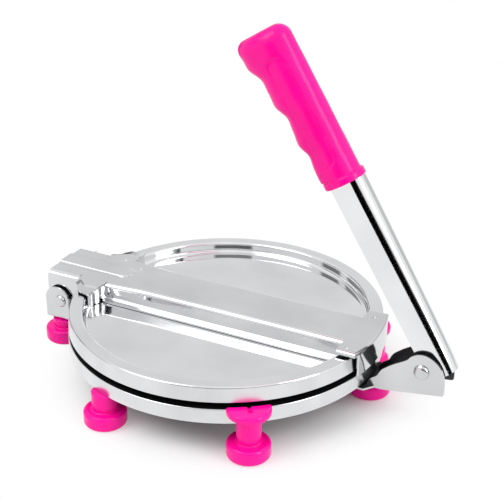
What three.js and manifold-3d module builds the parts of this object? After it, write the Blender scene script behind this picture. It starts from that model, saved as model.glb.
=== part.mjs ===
// Tortilla press: a round lid hinged at one end over a round base, and a lever at the other end
// that is swung over the lid to press its capped end down.
// Lengths in millimetres, +X from the hinge to the lever, +Y to the far side, +Z up, floor at 0.

import * as THREE from 'three';
import { mergeVertices } from 'three/addons/utils/BufferGeometryUtils.js';
import Module from 'manifold-3d';

const wasm = await Module();
wasm.setup();

// Fits
const fitGap = 0.3;           // between pieces that touch or are welded
const cutOver = 5;            // how far a cutting shape runs past what it cuts
const sharpestMitreShare = 0.3;

// Sizes that the others follow
const lidRadius = 95;
const lidRing = 9.3;
const baseOverLid = 0.25;
const platformInset = 1.7;
const hingeOut = 11.6;
const pivotOut = 32;

// Feet
const footHeight = 32.4;
const footDiscRadius = 12.4;
const footDiscDepth = 9.5;
const footStemRadius = 7.4;
const footWideStemRadius = 10;
const footFlangeDepth = 5.2;
const footRound = 1.8;
const footNotchWidth = 2.6;
const footNotchDepth = 1.6;
const footShoulder = 1;
const footScrewRadius = 1.9;
const footScrewHeadRadius = 4;
const footScrewHeadDepth = 2;
const footScrewRecess = 3;
const footSides = 24;
const footRimInset = 0.1;
const footInsideInset = 2.75;
const footWideInset = 8;
const frontFootAngle = -55.06;
const leftFootAngle = -110.04;
const wideFootArc = 40.75;
const halfTurnAngle = 180;
const hingeFootOut = 1.1;
const hingeFootInset = 5.2;
const leverFootInset = 5.65;
const leverFootAside = 11.8;

// Base plate
const plateSheet = 1;
const bendRadius = 2.2;
const bendSteps = 3;
const plateSides = 64;
const baseRadius = lidRadius + baseOverLid;
const baseBelowFlange = 2.25;
const baseSkirtDepth = 9.35;
const platformRadius = lidRadius - lidRing - platformInset;
const pressGap = 1.5;

// Lid plate
const lidSkirtDepth = 9.5;
const plateGap = 3.15;
const dishRadius = lidRadius - lidRing;
const dishDepth = 6.4;

// Lid strap
const strapSheet = 1.2;
const strapRise = 3.8;
const strapHalfTop = 16.4;
const strapHalfFoot = 18;
const strapHalfFlange = 22.3;
const strapBend = 2.7;
const strapEndOut = 22;
const strapEndX = -lidRadius - strapEndOut;
const strapEndHalf = 19.7;
const wingInset = 4;
const wingLeft = wingInset - lidRadius;
const wingReach = 5.9;
const wingRight = wingReach - dishRadius;
const wingHalf = 24.6;
const wingShoulder = 19;
const ribHalf = 6.7;
const ribLength = 51.6;
const ribRight = strapEndX + ribLength;
const ribRise = 1.5;
const ribSlope = 0.8;
const earInset = 1.1;
const earRight = earInset - lidRadius;
const earKneeAboveHinge = 6.4;
const earRadius = 8.4;
const capOverlap = 5.2;
const capLeft = dishRadius - capOverlap;
const capHalf = 27;
const capCorner = 2.5;
const capSkirtHalf = 23.2;
const capSkirtAboveBase = 0.9;

// Hinge
const hingeX = -lidRadius - hingeOut;
const hingeBelowTop = 14.3;
const hingeBracketBack = 11;
const hingeBracketLeft = hingeX - hingeBracketBack;
const hingeBracketReach = 9;
const hingeBracketWall = hingeX + hingeBracketReach;
const hingeSideRoom = 2.9;
const hingeBracketHalf = strapEndHalf + hingeSideRoom;
const hingeFootDrop = 13.3;
const hingeEarReach = 6.1;
const hingeEarRight = hingeX + hingeEarReach;
const hingeEarRise = 9;
const hingeEarCorner = 8.4;
const hingeWallHeight = 7;
const hingeRivetRadius = 2;
const hingeRivetHeadRadius = 3.5;
const hingeRivetHeadDepth = 1.5;
const hingeRivetTailRadius = 3;
const hingeRivetTailDepth = 1;
const hingeWasherRadius = 5.2;

// Straps that run in under the skirt and up to the base plate
const bracketSheet = 1.2;
const strapRiseInset = 4.65;
const strapRiseStart = baseRadius - strapRiseInset;
const strapRiseRun = 3.4;
const strapRiseEnd = strapRiseStart - strapRiseRun;
const strapWeldReach = 6;
const strapWeldEnd = platformRadius - strapWeldReach;
const strapWeldBend = 2.4;

// Stiffener under the platform
const ribChannelHalf = 16;
const ribChannelInset = 18;
const ribChannelReach = platformRadius - ribChannelInset;
const ribChannelDepth = 9;

// Lever bracket, its heights measured from the pivot
const pivotX = lidRadius + pivotOut;
const pivotBelowTop = 7.3;
const bracketHalf = 10.2;
const bracketStrapHalf = 16;
const bracketWallOut = 0.35;
const bracketWallStart = baseRadius + bracketWallOut;
const bracketTaperOut = 0.55;
const bracketTaperStart = baseRadius + bracketTaperOut;
const bracketTaperRun = 5.2;
const bracketTaperEnd = bracketTaperStart + bracketTaperRun;
const bracketWebRun = 3.5;
const bracketWebEnd = bracketTaperEnd + bracketWebRun;
const bracketFootDrop = 17.6;
const bracketEndReach = 13.6;
const bracketEndX = pivotX + bracketEndReach;
const bracketEndDrop = 11.9;
const bracketEndTop = -0.9;
const bracketCrownRadius = 10.9;
const crownStartShare = 0.8;
const crownSweepShare = 0.72;
const bracketShoulderBack = 8.6;
const bracketShoulderX = pivotX - bracketShoulderBack;
const bracketShoulderRise = 5.3;
const bracketHollowBack = 17.3;
const bracketHollowX = pivotX - bracketHollowBack;
const bracketHollowRise = 0.1;
const bracketNeckBack = 23.8;
const bracketNeckX = pivotX - bracketNeckBack;
const bracketNeckDrop = 5.2;
const bracketThroatOut = 6.35;
const bracketThroatX = baseRadius + bracketThroatOut;
const bracketThroatDrop = 9.4;
const bracketToeOut = 2.35;
const bracketToeX = baseRadius + bracketToeOut;
const bracketToeDrop = 12;
const bracketToeEndDrop = 15.4;
const pivotRivetRadius = 2.3;
const pivotRivetHeadRadius = 4;
const pivotRivetHeadDepth = 1.9;
const pivotWasherRadius = 6;
const pivotSpacerRadius = 4.2;

// Lever arm, measured from its pivot: along it, and across it towards its web
const leverLean = -31.8;
const leverHalf = 7.2;
const leverSheet = 1.2;
const leverWebReach = 16;
const leverBend = 2.6;
const leverLow = -7.3;
const leverShoulder = 116;
const leverEarRadius = 7.2;
const tangHalf = 5;
const tangInner = 2;
const tangOuter = 14;
const tangEnd = 186;
const tangOverlap = 3;

// Grip
const gripStart = 113.3;
const collarDepth = 4.2;
const gripEnd = 205.4;
const gripHalfY = 10.6;
const gripBack = 17.6;
const gripFront = 5.7;
const gripFlare = 11.4;
const gripFlarePower = 2.5;
const collarBack = 19;
const collarFront = 5.1;
const collarHalfY = 11.2;
const fingerPitch = 24;
const fingerDepth = 1.1;
const fingerFirst = 132;
const gripRound = 7;
const gripRoundSteps = 5;
const gripSteps = 22;
const gripSides = 28;
const gripSquareness = 3;
const panelLow = 124;
const panelHigh = 190;
const panelHalf = 6.4;
const panelCentre = 6.6;
const panelDepth = 0.7;

// Heights that follow
const baseTop = footHeight - baseBelowFlange;
const baseSkirtEnd = baseTop - baseSkirtDepth;
const lidTop = baseTop + plateGap + lidSkirtDepth;
const lidSkirtEnd = lidTop - lidSkirtDepth;
const dishFloor = lidTop - dishDepth;
const platformTop = dishFloor - plateSheet - pressGap;
const strapTop = lidTop + strapRise;
const weldTop = baseTop - plateSheet - fitGap;
const hingeZ = lidTop - hingeBelowTop;
const hingeBracketFoot = hingeZ - hingeFootDrop;
const pivotZ = lidTop - pivotBelowTop;
const bracketFootZ = pivotZ - bracketFootDrop;

// A place on the base's round, given how far in from its edge and by an angle in degrees
function onRound(inset, degrees) {
  const turn = THREE.MathUtils.degToRad(degrees);
  const radius = baseRadius - inset;
  return [radius * Math.cos(turn), radius * Math.sin(turn)];
}

// Where the feet stand, and how each meets the skirt of the base
const feet = [
  { name: 'foot_front', at: onRound(footRimInset, frontFootAngle), kind: 'rim' },
  { name: 'foot_front_left', at: onRound(footInsideInset, leftFootAngle), kind: 'inside' },
  {
    name: 'foot_far_right',
    at: onRound(footWideInset, THREE.MathUtils.radToDeg(wideFootArc / baseRadius)),
    kind: 'rim',
    stem: footWideStemRadius,
  },
  { name: 'foot_far', at: onRound(footInsideInset, leftFootAngle + halfTurnAngle), kind: 'inside' },
  { name: 'foot_far_left', at: onRound(footRimInset, frontFootAngle + halfTurnAngle), kind: 'rim' },
];
const shortFeet = [
  {
    name: 'foot_hinge',
    screw: 'foot_screw_hinge',
    at: [hingeX - hingeFootOut, hingeFootInset - hingeBracketHalf],
    under: hingeBracketFoot,
  },
  {
    name: 'foot_lever',
    screw: 'foot_screw_lever',
    at: [baseRadius - leverFootInset, leverFootAside],
    under: bracketFootZ,
  },
];

const steel = () => new THREE.MeshStandardMaterial({ color: 0xd6d8da, roughness: 0.12, metalness: 1 });
const brightSteel = () => new THREE.MeshStandardMaterial({ color: 0xc9ccd0, roughness: 0.2, metalness: 1 });
const pink = () => new THREE.MeshStandardMaterial({ color: 0xf5108f, roughness: 0.25, metalness: 0 });

// A closed three.js geometry as a solid that can be joined and cut
function solid(geometry) {
  const plain = geometry.clone();
  plain.deleteAttribute('normal');
  plain.deleteAttribute('uv');
  const merged = mergeVertices(plain);
  const place = merged.getAttribute('position');
  const index = merged.getIndex().array;
  const kept = [];
  let volume = 0;
  const corners = [new THREE.Vector3(), new THREE.Vector3(), new THREE.Vector3()];
  for (let i = 0; i < index.length; i += 3) {
    const tri = [index[i], index[i + 1], index[i + 2]];
    if (tri[0] === tri[1] || tri[1] === tri[2] || tri[2] === tri[0]) continue;
    kept.push(tri);
    tri.forEach((v, k) => corners[k].fromBufferAttribute(place, v));
    volume += corners[0].dot(corners[1].clone().cross(corners[2]));
  }
  if (volume < 0) kept.forEach((tri) => tri.reverse());
  const mesh = new wasm.Mesh({
    numProp: 3,
    vertProperties: new Float32Array(place.array),
    triVerts: new Uint32Array(kept.flat()),
  });
  return new wasm.Manifold(mesh);
}

function geometryOf(body) {
  const mesh = body.getMesh();
  const geometry = new THREE.BufferGeometry();
  geometry.setAttribute('position', new THREE.BufferAttribute(new Float32Array(mesh.vertProperties), 3));
  geometry.setIndex(new THREE.BufferAttribute(new Uint32Array(mesh.triVerts), 1));
  const flat = geometry.toNonIndexed();
  flat.computeVertexNormals();
  return flat;
}

function piece(name, body, material) {
  const mesh = new THREE.Mesh(geometryOf(body), material);
  mesh.name = name;
  return mesh;
}

const point = (x, y) => new THREE.Vector2(x, y);

// A path whose inner corners are rounded by an arc
function rounded(points, radius, steps = bendSteps) {
  const out = [points[0].clone()];
  for (let i = 1; i < points.length - 1; i += 1) {
    const before = points[i - 1].clone().sub(points[i]);
    const after = points[i + 1].clone().sub(points[i]);
    const half = Math.acos(before.clone().normalize().dot(after.clone().normalize())) / 2;
    const reach = Math.min(radius / Math.tan(half), before.length() / 2, after.length() / 2);
    const start = points[i].clone().add(before.setLength(reach));
    const end = points[i].clone().add(after.setLength(reach));
    const curve = new THREE.QuadraticBezierCurve(start, points[i], end);
    out.push(...curve.getPoints(steps));
  }
  out.push(points[points.length - 1].clone());
  return out;
}

// The same for a closed outline
function roundedLoop(points, radius, steps = bendSteps) {
  const last = points[points.length - 1];
  const middle = points[0].clone().add(last).multiplyScalar(0.5);
  const path = rounded([middle, ...points, middle.clone()], radius, steps);
  path.pop();
  return path;
}

// A path moved sideways to its right by a distance, corners mitred
function offset(path, distance) {
  return path.map((p, i) => {
    const a = path[Math.max(i - 1, 0)];
    const b = path[Math.min(i + 1, path.length - 1)];
    const into = p.clone().sub(a).normalize();
    const outof = b.clone().sub(p).normalize();
    if (i === 0) into.copy(outof);
    if (i === path.length - 1) outof.copy(into);
    const across = into.clone().add(outof).normalize();
    const right = point(across.y, -across.x);
    const share = Math.max(right.dot(point(into.y, -into.x)), sharpestMitreShare);
    return p.clone().add(right.multiplyScalar(distance / share));
  });
}

const sheetLoop = (path, thickness) => [...path, ...offset(path, thickness).reverse()];

// A plan outline raised from one height to another
function raised(outline, from, to) {
  const options = { depth: to - from, bevelEnabled: false };
  return solid(new THREE.ExtrudeGeometry(new THREE.Shape(outline), options).translate(0, 0, from));
}

// A side outline, x and z, carried across from one y to another
function across(outline, from, to) {
  const options = { depth: to - from, bevelEnabled: false };
  const geometry = new THREE.ExtrudeGeometry(new THREE.Shape(outline), options);
  return solid(geometry.rotateX(Math.PI / 2).translate(0, to, 0));
}

// An end outline, y and z, carried along from one x to another
function along(outline, from, to) {
  const options = { depth: to - from, bevelEnabled: false };
  const turn = new THREE.Matrix4().makeBasis(
    new THREE.Vector3(0, 1, 0),
    new THREE.Vector3(0, 0, 1),
    new THREE.Vector3(1, 0, 0),
  );
  const geometry = new THREE.ExtrudeGeometry(new THREE.Shape(outline), options);
  return solid(geometry.applyMatrix4(turn).translate(from, 0, 0));
}

const turned = (profile, sides = plateSides) => solid(
  new THREE.LatheGeometry(profile, sides).rotateX(Math.PI / 2),
);

const rectangle = (left, right, low, high) => [
  point(left, low), point(right, low), point(right, high), point(left, high),
];

const disc = (radius, from, to, sides = plateSides) => turned(
  [point(0, from), point(radius, from), point(radius, to), point(0, to)],
  sides,
);

const tube = (inner, outer, from, to, sides = plateSides) => turned(
  [...rectangle(inner, outer, from, to), point(inner, from)],
  sides,
);

// A round rod across the machine
function rod(radius, x, z, from, to, sides = footSides) {
  const geometry = new THREE.CylinderGeometry(radius, radius, to - from, sides);
  return solid(geometry.translate(x, (from + to) / 2, z));
}

// Base plate: a skirted round with a raised pressing platform
function basePlate() {
  const path = rounded([
    point(0, platformTop),
    point(platformRadius, platformTop),
    point(platformRadius, baseTop),
    point(baseRadius, baseTop),
    point(baseRadius, baseSkirtEnd),
  ], bendRadius);
  return turned(sheetLoop(path, plateSheet));
}

// Lid plate: a skirted round with a flat ring and a wide dish inside it
function lidPlate() {
  const path = rounded([
    point(0, dishFloor),
    point(dishRadius, dishFloor),
    point(dishRadius, lidTop),
    point(lidRadius, lidTop),
    point(lidRadius, lidSkirtEnd),
  ], bendRadius);
  return turned(sheetLoop(path, plateSheet));
}

// Lid strap: a hat section across the dish, its hinge ears at one end and its cap at the other
function lidStrap() {
  const floor = dishFloor + fitGap;
  const hat = rounded([
    point(-strapHalfFlange, floor + strapSheet),
    point(-strapHalfFoot, floor + strapSheet),
    point(-strapHalfTop, strapTop),
    point(strapHalfTop, strapTop),
    point(strapHalfFoot, floor + strapSheet),
    point(strapHalfFlange, floor + strapSheet),
  ], strapBend);
  const dishInside = dishRadius - fitGap;
  const lowClear = disc(dishRadius - bendRadius, dishFloor, strapTop + cutOver)
    .add(disc(dishInside, dishFloor + bendRadius, strapTop + cutOver));
  const middle = along(sheetLoop(hat, strapSheet), -dishRadius, dishRadius).intersect(lowClear);
  const overRing = lidTop + fitGap;
  const arch = rounded([
    point(-strapEndHalf, overRing),
    point(-strapEndHalf, strapTop),
    point(strapEndHalf, strapTop),
    point(strapEndHalf, overRing),
  ], strapBend);
  const end = along(sheetLoop(arch, strapSheet), strapEndX, wingLeft + strapSheet);
  const wideArch = rounded([
    point(-wingHalf, overRing),
    point(-wingShoulder, strapTop),
    point(wingShoulder, strapTop),
    point(wingHalf, overRing),
  ], strapBend);
  const aboveRing = disc(lidRadius + cutOver, overRing, strapTop + cutOver);
  const wings = along(sheetLoop(wideArch, strapSheet), wingLeft, wingRight).intersect(aboveRing);
  const underWing = strapTop - strapSheet / 2;
  const wingEnd = (sign) => along([
    point(sign * strapHalfTop, floor + strapSheet / 2),
    point(sign * (wingHalf - strapSheet), floor + strapSheet / 2),
    point(sign * (wingHalf - strapSheet), overRing + strapSheet / 2),
    point(sign * (wingShoulder - strapSheet / 2), underWing),
    point(sign * (strapHalfTop - strapSheet), underWing),
  ], wingRight - strapSheet, wingRight - strapSheet / 4);
  const wingEnds = wingEnd(1).add(wingEnd(-1)).intersect(lowClear);
  const earSide = [
    point(strapEndX, strapTop - strapBend),
    point(strapEndX, hingeZ + earKneeAboveHinge),
    point(hingeX - earRadius, hingeZ),
    point(hingeX - earRadius, hingeZ - earRadius),
    point(hingeX + earRadius, hingeZ - earRadius),
    point(hingeX + earRadius, hingeZ),
    point(earRight, hingeZ + earKneeAboveHinge),
    point(earRight, strapTop - strapBend),
  ];
  const earOutline = roundedLoop(earSide, earRadius, bendSteps + bendSteps);
  const ear = (from, to) => across(earOutline, from, to);
  const earInner = strapEndHalf - strapSheet;
  const ears = ear(-strapEndHalf, -earInner).add(ear(earInner, strapEndHalf));
  const bore = rod(hingeRivetRadius + fitGap, hingeX, hingeZ, -hingeBracketHalf, hingeBracketHalf);
  const ribOutline = (inset) => roundedLoop(
    rectangle(strapEndX - ribHalf * 2, ribRight - inset, inset - ribHalf, ribHalf - inset),
    ribHalf,
    bendSteps + bendSteps,
  );
  const onStrap = raised(
    rectangle(strapEndX, ribRight, -strapEndHalf, strapEndHalf),
    strapTop - strapSheet * 2,
    strapTop + ribRise * 2,
  );
  const rib = raised(ribOutline(0), strapTop - strapSheet, strapTop + ribRise / 2)
    .add(raised(ribOutline(ribSlope / 2), strapTop, strapTop + ribRise))
    .subtract(raised(
      ribOutline(strapSheet + ribSlope),
      strapTop - strapSheet - cutOver,
      strapTop + ribRise - strapSheet,
    )).intersect(onStrap);
  const hollow = raised(
    ribOutline(strapSheet + ribSlope),
    strapTop - strapSheet - cutOver,
    strapTop,
  );
  const capOuter = lidRadius + fitGap + strapSheet;
  const capPlan = raised(
    roundedLoop(rectangle(capLeft, capOuter + cutOver, -capHalf, capHalf), capCorner),
    overRing,
    strapTop,
  ).intersect(disc(capOuter, overRing, strapTop));
  const capPlate = capPlan.intersect(disc(capOuter, strapTop - strapSheet, strapTop));
  const skirtEnd = baseTop + capSkirtAboveBase;
  const skirt = tube(lidRadius + fitGap, capOuter, skirtEnd, strapTop).intersect(
    raised(rectangle(capLeft, capOuter + cutOver, -capSkirtHalf, capSkirtHalf), skirtEnd, strapTop),
  );
  const edges = end.add(wings).add(wingEnds).add(ears);
  return middle.add(edges).subtract(hollow).add(rib)
    .add(capPlate).add(skirt).subtract(bore);
}

// A strap that runs in flat under the skirt, then up, then flat under the plate
function weldStrap(foot, start, half) {
  const path = rounded([
    point(start, foot),
    point(strapRiseStart, foot),
    point(strapRiseEnd, weldTop - bracketSheet),
    point(strapWeldEnd, weldTop - bracketSheet),
  ], strapWeldBend);
  return across(sheetLoop(path, bracketSheet), -half, half);
}

// Hinge bracket: a channel whose sides rise as ears outside the lid's ears
function hingeBracket() {
  const side = roundedLoop([
    point(hingeBracketLeft, hingeBracketFoot),
    point(hingeBracketWall, hingeBracketFoot),
    point(hingeBracketWall, hingeBracketFoot + hingeWallHeight),
    point(hingeEarRight, hingeBracketFoot + hingeWallHeight),
    point(hingeEarRight, hingeZ + hingeEarRise),
    point(hingeBracketLeft, hingeZ + hingeEarRise),
  ], hingeEarCorner, bendSteps + bendSteps);
  const section = rounded([
    point(-hingeBracketHalf, hingeZ + hingeEarRise),
    point(-hingeBracketHalf, hingeBracketFoot),
    point(hingeBracketHalf, hingeBracketFoot),
    point(hingeBracketHalf, hingeZ + hingeEarRise),
  ], strapBend);
  const channel = along(sheetLoop(section, -bracketSheet), hingeBracketLeft, hingeBracketWall);
  const trimmed = channel.intersect(across(side, -hingeBracketHalf, hingeBracketHalf));
  const strap = weldStrap(hingeBracketFoot, bracketSheet - hingeBracketWall, hingeBracketHalf - strapBend)
    .mirror([1, 0, 0]);
  const boreEnd = hingeBracketHalf + cutOver;
  const bore = rod(hingeRivetRadius + fitGap, hingeX, hingeZ, -boreEnd, boreEnd);
  const [x, y] = shortFeet[0].at;
  const screwHole = disc(footScrewRadius + fitGap, -cutOver, cutOver, footSides)
    .translate([x, y, hingeBracketFoot]);
  return trimmed.add(strap).subtract(bore).subtract(screwHole);
}

// Stiffener channel welded under the platform
function stiffener() {
  const top = platformTop - plateSheet - fitGap;
  const section = rounded([
    point(-ribChannelHalf, top - ribChannelDepth),
    point(-ribChannelHalf, top),
    point(ribChannelHalf, top),
    point(ribChannelHalf, top - ribChannelDepth),
  ], strapBend);
  return along(sheetLoop(section, strapSheet), -ribChannelReach, ribChannelReach);
}

// Lever bracket: a strap from under the base whose sides rise to the pivot
function leverBracket() {
  const crown = [];
  const crownSteps = bendSteps * 3;
  for (let i = 0; i <= crownSteps; i += 1) {
    const turn = Math.PI * (crownStartShare - crownSweepShare * i / crownSteps);
    crown.push(point(
      pivotX + bracketCrownRadius * Math.cos(turn),
      pivotZ + bracketCrownRadius * Math.sin(turn),
    ));
  }
  const side = [
    point(bracketWallStart, bracketFootZ),
    point(bracketWebEnd, bracketFootZ),
    point(bracketEndX, pivotZ - bracketEndDrop),
    point(bracketEndX, pivotZ + bracketEndTop),
    ...crown.reverse(),
    point(bracketShoulderX, pivotZ + bracketShoulderRise),
    point(bracketHollowX, pivotZ + bracketHollowRise),
    point(bracketNeckX, pivotZ - bracketNeckDrop),
    point(bracketThroatX, pivotZ - bracketThroatDrop),
    point(bracketToeX, pivotZ - bracketToeDrop),
    point(bracketWallStart, pivotZ - bracketToeEndDrop),
  ];
  const wall = (from, to) => across(side, from, to);
  const bracketInner = bracketHalf - bracketSheet;
  const sides = wall(-bracketHalf, -bracketInner).add(wall(bracketInner, bracketHalf));
  const plan = raised([
    point(strapWeldEnd, -bracketStrapHalf),
    point(bracketTaperStart, -bracketStrapHalf),
    point(bracketTaperEnd, -bracketHalf),
    point(bracketWebEnd, -bracketHalf),
    point(bracketWebEnd, bracketHalf),
    point(bracketTaperEnd, bracketHalf),
    point(bracketTaperStart, bracketStrapHalf),
    point(strapWeldEnd, bracketStrapHalf),
  ], bracketFootZ, weldTop);
  const web = weldStrap(bracketFootZ, bracketWebEnd, bracketStrapHalf).intersect(plan);
  const bore = rod(pivotRivetRadius + fitGap, pivotX, pivotZ, -bracketHalf - cutOver, bracketHalf + cutOver);
  const [x, y] = shortFeet[1].at;
  const screwHole = disc(footScrewRadius + fitGap, -cutOver, cutOver, footSides)
    .translate([x, y, bracketFootZ]);
  return sides.add(web).subtract(bore).subtract(screwHole);
}

// A moulded foot: a disc to stand on, a stem, and a flange that the skirt of the base is pushed into
function foot(at, kind, stem = footStemRadius) {
  const flangeFrom = footHeight - footFlangeDepth;
  const profile = rounded([
    point(0, 0),
    point(footDiscRadius, 0),
    point(footDiscRadius, footDiscDepth),
    point(stem, footDiscDepth),
    point(stem, flangeFrom),
    point(footDiscRadius, flangeFrom),
    point(footDiscRadius, footHeight),
    point(0, footHeight),
  ], footRound, 2);
  const from = baseSkirtEnd - fitGap;
  const inside = baseRadius - plateSheet - fitGap;
  const outside = kind === 'rim' ? baseRadius + fitGap : baseRadius * 2;
  const [x, y] = at;
  const slot = tube(inside, outside, from, footHeight + cutOver).translate([-x, -y, 0]);
  const underPlate = baseTop - plateSheet - fitGap;
  const inner = disc(inside, underPlate, footHeight + cutOver).translate([-x, -y, 0]);
  const shoulder = tube(inside - footShoulder, outside, underPlate - footShoulder, footHeight + cutOver)
    .translate([-x, -y, 0])
    .intersect(disc(inside + fitGap, 0, footHeight + cutOver + cutOver).translate([-x, -y, 0]));
  let body = turned(profile, footSides).subtract(slot).subtract(inner).subtract(shoulder);
  if (kind === 'rim') {
    const notch = raised(
      [point(0, -footNotchWidth), point(footDiscRadius + cutOver, -footNotchWidth * 2),
        point(footDiscRadius + cutOver, footNotchWidth * 2), point(0, footNotchWidth)],
      footHeight - footNotchDepth,
      footHeight + cutOver,
    ).rotate([0, 0, THREE.MathUtils.radToDeg(Math.atan2(y, x))]);
    body = body.subtract(notch);
  }
  return body;
}

// A short foot held up into a bracket by a screw from below
function shortFoot(under) {
  const top = under - fitGap;
  const profile = rounded([
    point(0, 0),
    point(footDiscRadius, 0),
    point(footDiscRadius, footDiscDepth),
    point(footStemRadius, footDiscDepth),
    point(footStemRadius, top),
    point(0, top),
  ], footRound, 2);
  const recess = footScrewRecess + footScrewHeadDepth + fitGap;
  return turned(profile, footSides)
    .subtract(disc(footScrewRadius + fitGap, -cutOver, top + cutOver, footSides))
    .subtract(disc(footScrewHeadRadius + fitGap, -cutOver, recess, footSides));
}

function footScrew(under) {
  const headTop = footScrewRecess + footScrewHeadDepth;
  const profile = [
    point(0, footScrewRecess),
    point(footScrewHeadRadius, footScrewRecess),
    point(footScrewHeadRadius, headTop),
    point(footScrewRadius, headTop),
    point(footScrewRadius, under + bracketSheet),
    point(0, under + bracketSheet),
  ];
  return turned(profile, footSides);
}

// A rivet that lies across the machine, its domed head on the side that the sign names
function rivet(radius, headRadius, headDepth, tailRadius, tailDepth, headFace, tailFace) {
  const dome = [];
  for (let i = 0; i <= bendSteps; i += 1) {
    const turn = Math.PI / 2 * i / bendSteps;
    dome.push(point(headRadius * Math.cos(turn), headFace + headDepth * Math.sin(turn)));
  }
  dome[dome.length - 1].x = 0;
  const profile = [
    point(0, tailFace - tailDepth),
    point(tailRadius, tailFace - tailDepth),
    point(tailRadius, tailFace),
    point(radius, tailFace),
    point(radius, headFace),
    ...dome,
  ];
  return solid(new THREE.LatheGeometry(profile, footSides));
}

function ring(inner, outer, from, to) {
  const profile = [...rectangle(inner, outer, from, to), point(inner, from)];
  return solid(new THREE.LatheGeometry(profile, footSides));
}

// Lever arm: a channel open towards the lid, with ears round the pivot and a tang inside the grip
function leverArm() {
  const channel = (half, inner, outer, low, high) => {
    const path = rounded([
      point(inner, half),
      point(outer, half),
      point(outer, -half),
      point(inner, -half),
    ], leverBend);
    return raised(sheetLoop(path, leverSheet), low, high);
  };
  const arm = channel(leverHalf, 0, leverWebReach, leverLow, leverShoulder);
  const tang = channel(tangHalf, tangInner, tangOuter, leverShoulder - tangOverlap, tangEnd);
  const bridgeHalf = leverHalf - leverSheet / 2;
  const bridge = raised(
    rectangle(tangInner, leverWebReach - leverSheet / 2, -bridgeHalf, bridgeHalf),
    leverShoulder - leverSheet,
    leverShoulder,
  );
  const ears = rod(leverEarRadius, 0, 0, -leverHalf, leverHalf)
    .subtract(rod(leverEarRadius + fitGap, 0, 0, leverSheet - leverHalf, leverHalf - leverSheet));
  const bore = rod(pivotRivetRadius + fitGap, 0, 0, -leverHalf - cutOver, leverHalf + cutOver);
  return arm.add(bridge).add(tang).add(ears).subtract(bore);
}

// The grip: a loft of squarish ovals with finger waves on the side towards the lid
function gripSection(along, front, back, half) {
  const out = [];
  const middle = (back - front) / 2;
  const reach = (back + front) / 2;
  for (let i = 0; i < gripSides; i += 1) {
    const turn = 2 * Math.PI * i / gripSides;
    const c = Math.cos(turn);
    const s = Math.sin(turn);
    const power = 2 / gripSquareness;
    out.push(new THREE.Vector3(
      middle + reach * Math.sign(c) * Math.abs(c) ** power,
      half * Math.sign(s) * Math.abs(s) ** power,
      along,
    ));
  }
  return out;
}

function loft(sections) {
  const places = [];
  sections.forEach((section) => section.forEach((p) => places.push(p.x, p.y, p.z)));
  const count = sections[0].length;
  const index = [];
  for (let j = 0; j < sections.length - 1; j += 1) {
    for (let i = 0; i < count; i += 1) {
      const a = j * count + i;
      const b = j * count + (i + 1) % count;
      index.push(a, b, b + count, a, b + count, a + count);
    }
  }
  const last = (sections.length - 1) * count;
  for (let i = 1; i < count - 1; i += 1) {
    index.push(0, i + 1, i, last, last + i, last + i + 1);
  }
  const geometry = new THREE.BufferGeometry();
  geometry.setAttribute('position', new THREE.Float32BufferAttribute(places, 3));
  geometry.setIndex(index);
  return solid(geometry);
}

function grip() {
  const sections = [];
  const bodyStart = gripStart + collarDepth;
  const lip = collarDepth / 4;
  sections.push(gripSection(gripStart, collarFront - lip, collarBack - lip, collarHalfY - lip));
  sections.push(gripSection(gripStart + lip, collarFront, collarBack, collarHalfY));
  sections.push(gripSection(bodyStart - lip, collarFront, collarBack, collarHalfY));
  const shape = (z) => {
    const share = (z - bodyStart) / (gripEnd - bodyStart);
    const wave = fingerDepth * Math.cos(2 * Math.PI * (z - fingerFirst) / fingerPitch);
    const fade = Math.min(share * gripSquareness, (1 - share) * gripSquareness, 1);
    return gripFront + gripFlare * share ** gripFlarePower - wave * Math.max(fade, 0);
  };
  const roundFrom = gripEnd - gripRound;
  for (let i = 0; i <= gripSteps; i += 1) {
    const z = bodyStart + (roundFrom - bodyStart) * i / gripSteps;
    sections.push(gripSection(z, shape(z), gripBack, gripHalfY));
  }
  for (let i = 1; i <= gripRoundSteps; i += 1) {
    const turn = Math.PI / 2 * i / gripRoundSteps;
    const z = roundFrom + gripRound * Math.sin(turn);
    const drawn = gripRound * (1 - Math.cos(turn));
    sections.push(gripSection(z, shape(z) - drawn, gripBack - drawn, gripHalfY - drawn));
  }
  const bodySolid = loft(sections);
  const pocket = (half, inner, outer, low, high) => raised(
    rectangle(inner - fitGap, outer + fitGap, -half - fitGap, half + fitGap), low, high,
  );
  const panelBox = rectangle(panelCentre - panelHalf, panelCentre + panelHalf, panelLow, panelHigh);
  const panel = (from, to) => across(roundedLoop(panelBox, panelHalf, bendSteps * 2), from, to);
  const flatFrom = gripHalfY - panelDepth;
  return bodySolid
    .subtract(pocket(leverHalf, 0, leverWebReach, gripStart - cutOver, leverShoulder + fitGap))
    .subtract(pocket(tangHalf, tangInner, tangOuter, gripStart, tangEnd + fitGap))
    .subtract(panel(flatFrom, gripHalfY + cutOver))
    .subtract(panel(-gripHalfY - cutOver, -flatFrom));
}

const group = new THREE.Group();
group.name = 'tortilla_press';

const base = new THREE.Group();
base.add(piece('base_plate', basePlate(), steel()));
base.add(piece('base_stiffener', stiffener(), brightSteel()));
base.add(piece('hinge_bracket', hingeBracket(), brightSteel()));
base.add(piece('lever_bracket', leverBracket(), steel()));
for (const { name, at, kind, stem } of feet) {
  const mesh = piece(name, foot(at, kind, stem), pink());
  mesh.position.set(at[0], at[1], 0);
  base.add(mesh);
}
for (const { name, screw, at, under } of shortFeet) {
  const mesh = piece(name, shortFoot(under), pink());
  mesh.position.set(at[0], at[1], 0);
  base.add(mesh);
  const held = piece(screw, footScrew(under), brightSteel());
  held.position.set(at[0], at[1], 0);
  base.add(held);
}

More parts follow.
